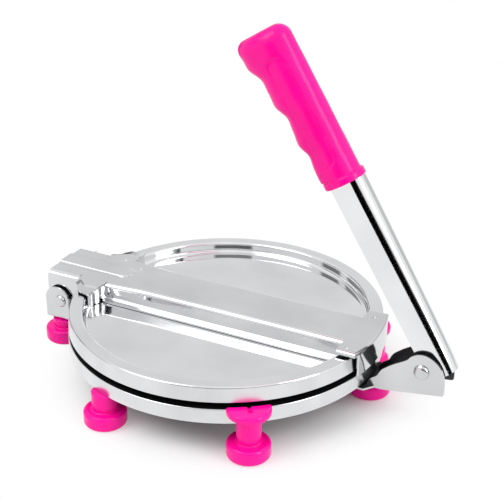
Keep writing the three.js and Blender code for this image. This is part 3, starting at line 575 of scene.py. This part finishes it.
def make_lever_bracket():
    """Two cheeks that hold the lever's rivet, on a web that is welded under the base."""
    half = CHEEK_HALF
    foot = PIVOT_Z - 17.6

    def cheek(side):
        outline = [(x, side * half, PIVOT_Z + z) for x, z in (
            (95.6, -17.6), (104.5, -17.6), (PIVOT_X + 13.6, -11.9), (PIVOT_X + 13.6, -0.9),
            (PIVOT_X + 8.84, 9.42), (PIVOT_X - 4.76, 12.01), (PIVOT_X - 8.6, 5.3), (PIVOT_X - 17.3, 0.1),
            (PIVOT_X - 23.8, -5.2), (101.6, -9.4), (97.6, -12), (95.6, -15.4))]
        reaches = {1: 3, 2: 1.4, 3: 4, 4: 6.8, 5: 6.8, 6: 3, 7: 3, 8: 2.2, 9: 1.6, 10: 1.4, 11: 0.8}
        return filled(line(outline, reaches, closed=True, steps=10), (0, -side * STRAP_SHEET, 0))
    tight = half - STRAP_SHEET
    plan = [(x, y, foot) for x, y in (
        (WELD_OUTER, -16), (95.8, -16), (101, -tight), (104.5, -tight),
        (104.5, tight), (101, tight), (95.8, 16), (WELD_OUTER, 16))]
    web = filled(line(plan, closed=True), (0, 0, STRAP_SHEET))
    bm = joined(mirrored(cheek), web, weld_strap(WELD_OUTER + 0.02, foot, 16, 1))
    return finish_piece("lever_bracket_bent", bm, BRACKET_STEEL, "base", ["lever_bracket"], 32, 0.15,
                        others=(MILL_AND_SHADE_STEEL,), which=inner)


# Lever and grip, drawn upright at the pivot and then leaned over

def make_lever_arm():
    """Channel folded from sheet, open at its back, with round ears at the pivot."""
    half, reach, low, high = 7.2, 16, -7.3, 117
    section = [(0, half, low), (reach, half, low), (reach, -half, low), (0, -half, low)]
    sheet = carried(line(section, {1: 6.7, 2: 6.7}, steps=20), (0, 0, high - low), 24)
    for vert in sheet.verts:
        # the sides grow deeper towards the grip
        vert.co.x += 2.6 * max((vert.co.z - low) / (high - low), 0) ** 0.6 if vert.co.x > 2 else 0
    channel = walled(sheet, STRAP_SHEET, Vector((1, 0, 0)))

    def ear(side):
        bm = bmesh.new()
        bmesh.ops.create_circle(bm, cap_ends=True, radius=half, segments=72)
        moved(bm, Matrix.Translation((0, side * half, 0)) @ Matrix.Rotation(math.pi / 2, 4, "X"))
        # it overlaps the channel by a hair, so that the two shells stay apart and shade flat
        bisected(bm, ((0.01, 0, 0), (1, 0, 0)))
        made = bmesh.ops.extrude_face_region(bm, geom=bm.faces[:])
        bmesh.ops.translate(bm, vec=(0, -side * STRAP_SHEET, 0), verts=new_verts(made))
        return bm
    bm = moved(joined(channel, mirrored(ear)), LEVER_PLACE)
    return finish_piece("lever_arm_folded", bm, LEVER_STEEL, "lever", ["lever_arm"], 32, 0.15)


# Lower and upper end, and the height of the collar
GRIP_FROM, GRIP_TO, COLLAR = 113.3, 205.4, 4.2
# How far its back stands out, its half width, and the radius of its upper end
GRIP_BACK, GRIP_HALF, GRIP_ROUND = 17.6, 10.5, 7.5
# Front, back and half width of the collar
COLLAR_FRONT, COLLAR_BACK, COLLAR_HALF = 5.1, 19, 11.1
# Distance from one finger's hollow to the next, and the height of one crest
FINGER, CREST = 24, 132
# The panel on each side: its middle, its lower and upper end, and its half width
PANEL_X, PANEL_LOW, PANEL_HIGH, PANEL_HALF = 6.2, 130, 184, 6.7


def squared(value, power):
    """A circle's coordinate pushed out towards the corners of a rounded square."""
    return math.copysign(abs(value) ** power, value)


def grip_front(z):
    """The side towards the lid: flared at its end, with hollows for the fingers."""
    start = GRIP_FROM + COLLAR
    share = min(max((z - start) / (GRIP_TO - start), 0), 1)
    turn = math.tau * (z - CREST) / FINGER
    wave = 1.25 * math.cos(turn) + 0.3 * math.sin(2 * turn)
    return 5.7 + 11.2 * share ** 2.5 - wave * max(min(share * 5, (1 - share) * 6, 1), 0)


def grip_levels():
    """Level, front, back and half width of each section, from the collar to the rounded end."""
    for k in range(7):
        turn = math.pi / 2 * k / 6
        lip = 0.6 * (1 - math.sin(turn))
        z = GRIP_FROM + 0.6 * (1 - math.cos(turn)) + 0.01
        yield z, COLLAR_FRONT - lip, COLLAR_BACK - lip, COLLAR_HALF - lip
    start = GRIP_FROM + COLLAR
    for k in range(7):
        turn = math.pi / 2 * k / 6
        lip = 1 - math.cos(turn)
        z = start - 1.2 + 1.2 * math.sin(turn)
        yield z, COLLAR_FRONT - lip, COLLAR_BACK - 1.3 * lip, COLLAR_HALF - 0.6 * lip
    for k in range(1, 151):
        z = start + (GRIP_TO - GRIP_ROUND - start) * k / 150
        yield z, grip_front(z), GRIP_BACK, GRIP_HALF
    for k in range(1, 15):
        turn = math.pi / 2 * k / 15
        z = GRIP_TO - GRIP_ROUND + GRIP_ROUND * math.sin(turn)
        drawn = GRIP_ROUND * (1 - math.cos(turn))
        yield z, grip_front(z) - drawn, GRIP_BACK - drawn, GRIP_HALF - drawn


def section_place(level):
    """The matrix that makes a unit circle this level's section."""
    z, front, back, half = level
    middle = Matrix.Translation(((back - front) / 2, 0, z))
    return middle @ Matrix.Diagonal(((back + front) / 2, half, 1, 1))


def make_grip():
    """Moulded grip: one closed skin carried from section to section."""
    bm = bmesh.new()
    bmesh.ops.create_circle(bm, cap_ends=False, radius=1, segments=112)
    for vert in bm.verts:
        power = 0.9 if vert.co.x < 0 else 0.94
        vert.co.x, vert.co.y = squared(vert.co.x, power), squared(vert.co.y, power)
    levels = list(grip_levels())
    moved(bm, section_place(levels[0]))
    edges = bm.edges[:]
    first = edges
    for before, after in zip(levels, levels[1:]):
        made = bmesh.ops.extrude_edge_only(bm, edges=edges)
        edges = [e for e in new_edges(made) if len(e.link_faces) == 1]
        bmesh.ops.transform(bm, matrix=section_place(after) @ section_place(before).inverted(),
                            verts=new_verts(made))
    for ends in (first, edges):
        bmesh.ops.contextual_create(bm, geom=ends)
    for vert in bm.verts:
        # the long shallow panel on each side, with its raised lip
        beyond = max(PANEL_LOW - vert.co.z, vert.co.z - PANEL_HIGH, 0)
        away = math.hypot(vert.co.x - PANEL_X, beyond)
        lip = math.exp(-((away - PANEL_HALF) / 0.6) ** 2) * 0.12
        if abs(vert.co.y) > 6:
            vert.co.y -= math.copysign(0.55 * ramp(away, 6.3, 5.1) - lip, vert.co.y)
    moved(bm, LEVER_PLACE)
    return finish_piece("grip_moulded", bm, GRIP_PINK, "lever", ["grip"], 50)


# Feet

# Each foot, how it holds on (over the base's rim, inside its skirt, or under a bracket), and its stem's radius
FEET = [
    ("foot_front", "rim", 6.9),
    ("foot_far_left", "rim", 7.4),
    ("foot_far_right", "rim", 10.0),
    ("foot_front_left", "inside", 7.4),
    ("foot_far", "inside", 7.4),
    ("foot_hinge", "short", 7.4),
    ("foot_lever", "short", 7.4),
]
# Radius of disc and flange, top of the disc, underside and top of the flange
FOOT_R, FOOT_DISC, FLANGE_FROM, FOOT_TOP = 12.4, 9.5, 26.6, 31.2
# Cutters reach this high and this far out, past every foot
CLEAR_HIGH, CLEAR_FAR = 60, 140


def cut(piece, cutter_bm):
    """Take a cutter's volume out of a piece for good."""
    bmesh.ops.recalc_face_normals(cutter_bm, faces=cutter_bm.faces)
    to_frame(cutter_bm)
    cutter = as_object("cutter", cutter_bm)
    cutter_mesh = cutter.data
    work = piece.modifiers.new("cut", "BOOLEAN")
    work.operation = "DIFFERENCE"
    work.solver = "EXACT"
    work.object = cutter
    graph = bpy.context.evaluated_depsgraph_get()
    result = bpy.data.meshes.new_from_object(piece.evaluated_get(graph))
    piece.modifiers.remove(work)
    old = piece.data
    piece.data = result
    bpy.data.meshes.remove(old)
    bpy.data.objects.remove(cutter)
    bpy.data.meshes.remove(cutter_mesh)


def ring_cutter(inner, outer, low, high):
    """The room that the base's sheet takes, as a ring or a disc about the plates' axis."""
    bm = line([(inner, 0, low), (outer, 0, low), (outer, 0, high), (inner, 0, high)], closed=inner > 0)
    return spun(bm, PLATE_SIDES)


def make_foot(node, kind, stem):
    """Spool-shaped foot, turned and then cut to hold the base's rim."""
    low, high = low_high(node)
    x, y = (low.x + high.x) / 2 - PLATE_X, (low.y + high.y) / 2
    if kind == "short":
        bm = line([(0, 0, 0), (FOOT_R, 0, 0), (FOOT_R, 0, FOOT_DISC), (stem, 0, FOOT_DISC), (stem, 0, high.z),
                   (0, 0, high.z)], {1: 2.6, 2: 2, 3: 0.9, 4: 0.6})
    else:
        bm = line([(0, 0, 0), (FOOT_R, 0, 0), (FOOT_R, 0, FOOT_DISC), (stem, 0, FOOT_DISC),
                   (stem, 0, FLANGE_FROM), (FOOT_R, 0, FLANGE_FROM), (FOOT_R, 0, FOOT_TOP), (0, 0, FOOT_TOP)],
                  {1: 2.6, 2: 2, 3: 0.9, 4: 0.9, 5: 1.6, 6: 1.4})
    moved(spun(bm, 72), Matrix.Translation((x, y, 0)))
    piece = finish_piece(node + "_moulded", bm, FOOT_PINK, "base", [node], 40)
    if kind == "short":
        return piece
    inner = BASE_R - PLATE_SHEET - GAP
    outer = BASE_R + GAP if kind == "rim" else CLEAR_FAR
    cut(piece, ring_cutter(inner, outer, BASE_SKIRT - GAP, CLEAR_HIGH))
    cut(piece, ring_cutter(0, inner + 0.1, WELD_TOP - STRAP_SHEET, CLEAR_HIGH))
    if kind == "rim":
        # a small notch in the flange's top, that points at the plates' axis
        corners = [(-2, 0, FOOT_TOP - 1.5), (-2, -2.6, FOOT_TOP + 1.4), (-2, 2.6, FOOT_TOP + 1.4)]
        notch = filled(line(corners, closed=True), (9, 0, 0))
        turn = math.atan2(y, x)
        cut(piece, moved(notch, Matrix.Translation((x, y, 0)) @ Matrix.Rotation(turn, 4, "Z")))
    return piece


# Rivets

def make_rivet(node, sign, shank, head, height, face, tail, tail_height, tail_face):
    """A rivet across the press: domed head on the side that the sign names, flat tail on the other."""
    x, z = pin_at(node)
    bm = line([(0, tail_face - tail_height, 0), (tail, tail_face - tail_height, 0), (tail, tail_face, 0),
               (shank, tail_face, 0), (shank, face, 0), (head, face, 0), (head * 0.94, face + height * 0.62, 0),
               (head * 0.5, face + height, 0), (0, face + height, 0)], {1: 0.4, 6: 0.75, 7: 1.1}, steps=8)
    spun(bm, 64, axis=(0, 1, 0))
    bmesh.ops.scale(bm, vec=(1, sign, 1), verts=bm.verts)
    moved(bm, Matrix.Translation((x, 0, z)))
    return finish_piece(node + "_headed", bm, FIXING_STEEL, "base", [node], 40)


def dress_nodes():
    """Materials of the solids that show as they are."""
    for name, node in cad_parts.items():
        material = BRACKET_STEEL if name == "base_stiffener" else FIXING_STEEL
        if not node.material_slots:
            node.data.materials.append(material)
        for slot in node.material_slots:
            slot.material = material


# Floor, light and camera

# In metres: the floor's radius, and from where to where it turns from shaded to plain white
FLOOR_R, SHADE_TO, WHITE_FROM = 0.42, 0.064, 0.132


def make_floor():
    """White sweep: it keeps the press's shadow close by, and is plain white farther out."""
    bm = bmesh.new()
    bmesh.ops.create_circle(bm, cap_ends=True, radius=FLOOR_R, segments=96)
    floor = as_object("floor", bm)
    material, tree, shader = new_material("floor_white_sweep")
    shader.inputs["Base Color"].default_value = (0.9, 0.9, 0.9, 1)
    shader.inputs["Roughness"].default_value = 0.3
    shader.inputs["Specular IOR Level"].default_value = 0.2
    place = add(tree, "ShaderNodeTexCoord").outputs["Object"]
    away = add(tree, "ShaderNodeVectorMath", {0: place}, operation="LENGTH").outputs["Value"]
    share = add(tree, "ShaderNodeMapRange", {0: away, 1: SHADE_TO, 2: WHITE_FROM, 3: 0.0, 4: 1.0},
                interpolation_type="SMOOTHSTEP").outputs[0]
    path = add(tree, "ShaderNodeLightPath").outputs
    seen = add(tree, "ShaderNodeMath", {0: path["Is Camera Ray"], 1: path["Is Glossy Ray"]}, operation="MAXIMUM")
    seen = add(tree, "ShaderNodeMath", {0: seen.outputs[0], 1: path["Is Transmission Ray"]}, operation="MAXIMUM")
    part = add(tree, "ShaderNodeMath", {0: seen.outputs[0], 1: share}, operation="MULTIPLY").outputs[0]
    white = add(tree, "ShaderNodeEmission", {"Color": (1, 1, 1, 1), "Strength": 1.0}).outputs[0]
    mixed = add(tree, "ShaderNodeMixShader", {0: part, 1: shader.outputs[0], 2: white}).outputs[0]
    tree.links.new(mixed, tree.nodes["Material Output"].inputs["Surface"])
    floor.data.materials.append(material)


# Dark sides of the studio: azimuth from and to, height from and to, softness, all in degrees, and how dark
DARK_SIDES = [
    (-100, -20, -60, 11.5, 1.5, 1.0),
    (-84, -52, 22.5, 28, 1.5, 0.95),
    (-172, -150, 16, 32, 3, 0.75),
    (66, 178, 22, 44, 3, 0.17),
    (146, 178, 19, 36, 2, 0.6),
    (120, 168, -30, 10, 3, 0.9),
    (40, 96, -6, 16, 5, 0.36),
]


def make_world():
    """White studio with dark sides that show in the metal; the camera itself sees plain white."""
    world = bpy.data.worlds.new("studio")
    bpy.context.scene.world = world
    world.use_nodes = True
    tree = world.node_tree
    tree.nodes.clear()
    place = add(tree, "ShaderNodeTexCoord").outputs["Generated"]
    split = add(tree, "ShaderNodeSeparateXYZ", {0: place}).outputs
    turn = add(tree, "ShaderNodeMath", {0: split["Y"], 1: split["X"]}, operation="ARCTAN2").outputs[0]
    azimuth = add(tree, "ShaderNodeMath", {0: turn}, operation="DEGREES").outputs[0]
    lift = add(tree, "ShaderNodeMath", {0: split["Z"]}, operation="ARCSINE").outputs[0]
    height = add(tree, "ShaderNodeMath", {0: lift}, operation="DEGREES").outputs[0]
    level = 1.0
    for left, right, low, high, soft, dark in DARK_SIDES:
        share = dark
        for value, start, end in ((azimuth, left, right), (height, low, high)):
            rise = add(tree, "ShaderNodeMapRange", {0: value, 1: start - soft, 2: start + soft, 3: 0.0, 4: 1.0},
                       interpolation_type="SMOOTHSTEP").outputs[0]
            fall = add(tree, "ShaderNodeMapRange", {0: value, 1: end - soft, 2: end + soft, 3: 1.0, 4: 0.0},
                       interpolation_type="SMOOTHSTEP").outputs[0]
            both = add(tree, "ShaderNodeMath", {0: rise, 1: fall}, operation="MULTIPLY").outputs[0]
            share = add(tree, "ShaderNodeMath", {0: both, 1: share}, operation="MULTIPLY").outputs[0]
        left_over = add(tree, "ShaderNodeMath", {0: 1.0, 1: share}, operation="SUBTRACT").outputs[0]
        level = add(tree, "ShaderNodeMath", {0: level, 1: left_over}, operation="MULTIPLY").outputs[0]
    around = add(tree, "ShaderNodeBackground", {"Color": (1, 1, 1, 1), "Strength": level}).outputs[0]
    white = add(tree, "ShaderNodeBackground", {"Color": (1, 1, 1, 1), "Strength": 1.0}).outputs[0]
    seen = add(tree, "ShaderNodeLightPath").outputs["Is Camera Ray"]
    mixed = add(tree, "ShaderNodeMixShader", {0: seen, 1: around, 2: white}).outputs[0]
    add(tree, "ShaderNodeOutputWorld", {"Surface": mixed})


def area_light(name, at, target, size, size_y, power):
    """A soft box, in metres and watts, that faces its target."""
    data = bpy.data.lights.new(name, "AREA")
    data.shape = "RECTANGLE"
    data.size = size
    data.size_y = size_y
    data.energy = power
    light = bpy.data.objects.new(name, data)
    bpy.context.collection.objects.link(light)
    light.location = at
    light.rotation_euler = (Vector(target) - Vector(at)).to_track_quat("-Z", "Y").to_euler()


# Focal length and frame of the photograph, in its own pixels
FOCAL_PIXELS, FRAME_PIXELS, SENSOR = 1101, 500, 36


def make_camera():
    """The photograph's camera, worked out in millimetres about the middle of the lid's top."""
    azimuth, lift, roll = math.radians(26.412), math.radians(25.409), math.radians(0.515)
    right = Vector((math.cos(azimuth), math.sin(azimuth), 0))
    back = Vector((math.sin(azimuth) * math.cos(lift), -math.cos(azimuth) * math.cos(lift), math.sin(lift)))
    up = back.cross(right)
    turned_right = right * math.cos(roll) + up * math.sin(roll)
    turned_up = up * math.cos(roll) - right * math.sin(roll)
    away, aside, above = 664.537, 14.194, 31.989
    place = away * back + aside * turned_right + above * turned_up + Vector((PLATE_X, 0, LID_TOP))
    data = bpy.data.cameras.new("camera")
    data.sensor_width = SENSOR
    data.lens = SENSOR * FOCAL_PIXELS / FRAME_PIXELS
    data.clip_end = 50
    camera = bpy.data.objects.new("camera", data)
    bpy.context.collection.objects.link(camera)
    turn = Matrix((turned_right, turned_up, back)).transposed()
    camera.matrix_world = Matrix.Translation(place * MM) @ turn.to_4x4()
    bpy.context.scene.camera = camera


make_camera()
dress_nodes()
make_lid_plate()
make_base_plate()
make_lid_strap()
make_hinge_bracket()
make_lever_bracket()
make_lever_arm()
make_grip()
for foot_node, foot_kind, foot_stem in FEET:
    make_foot(foot_node, foot_kind, foot_stem)
for rivet_node, rivet_sign in (("hinge_rivet_near", -1), ("hinge_rivet_far", 1)):
    make_rivet(rivet_node, rivet_sign, 2, 3.9, 1.6, BRACKET_HALF + GAP / 2, 3, 1, 18.2)
make_rivet("lever_rivet", -1, 2.3, 4.5, 1.9, CHEEK_HALF + GAP / 2, 4, 0.95, -10.5)
make_floor()
make_world()
area_light("key", (-0.5, -0.6, 1.1), (0, 0, 0.05), 0.7, 0.7, 5)
area_light("side", (0.95, -0.15, 0.6), (0, 0, 0.08), 0.34, 0.9, 4.2)

bpy.context.scene.view_settings.view_transform = "Standard"
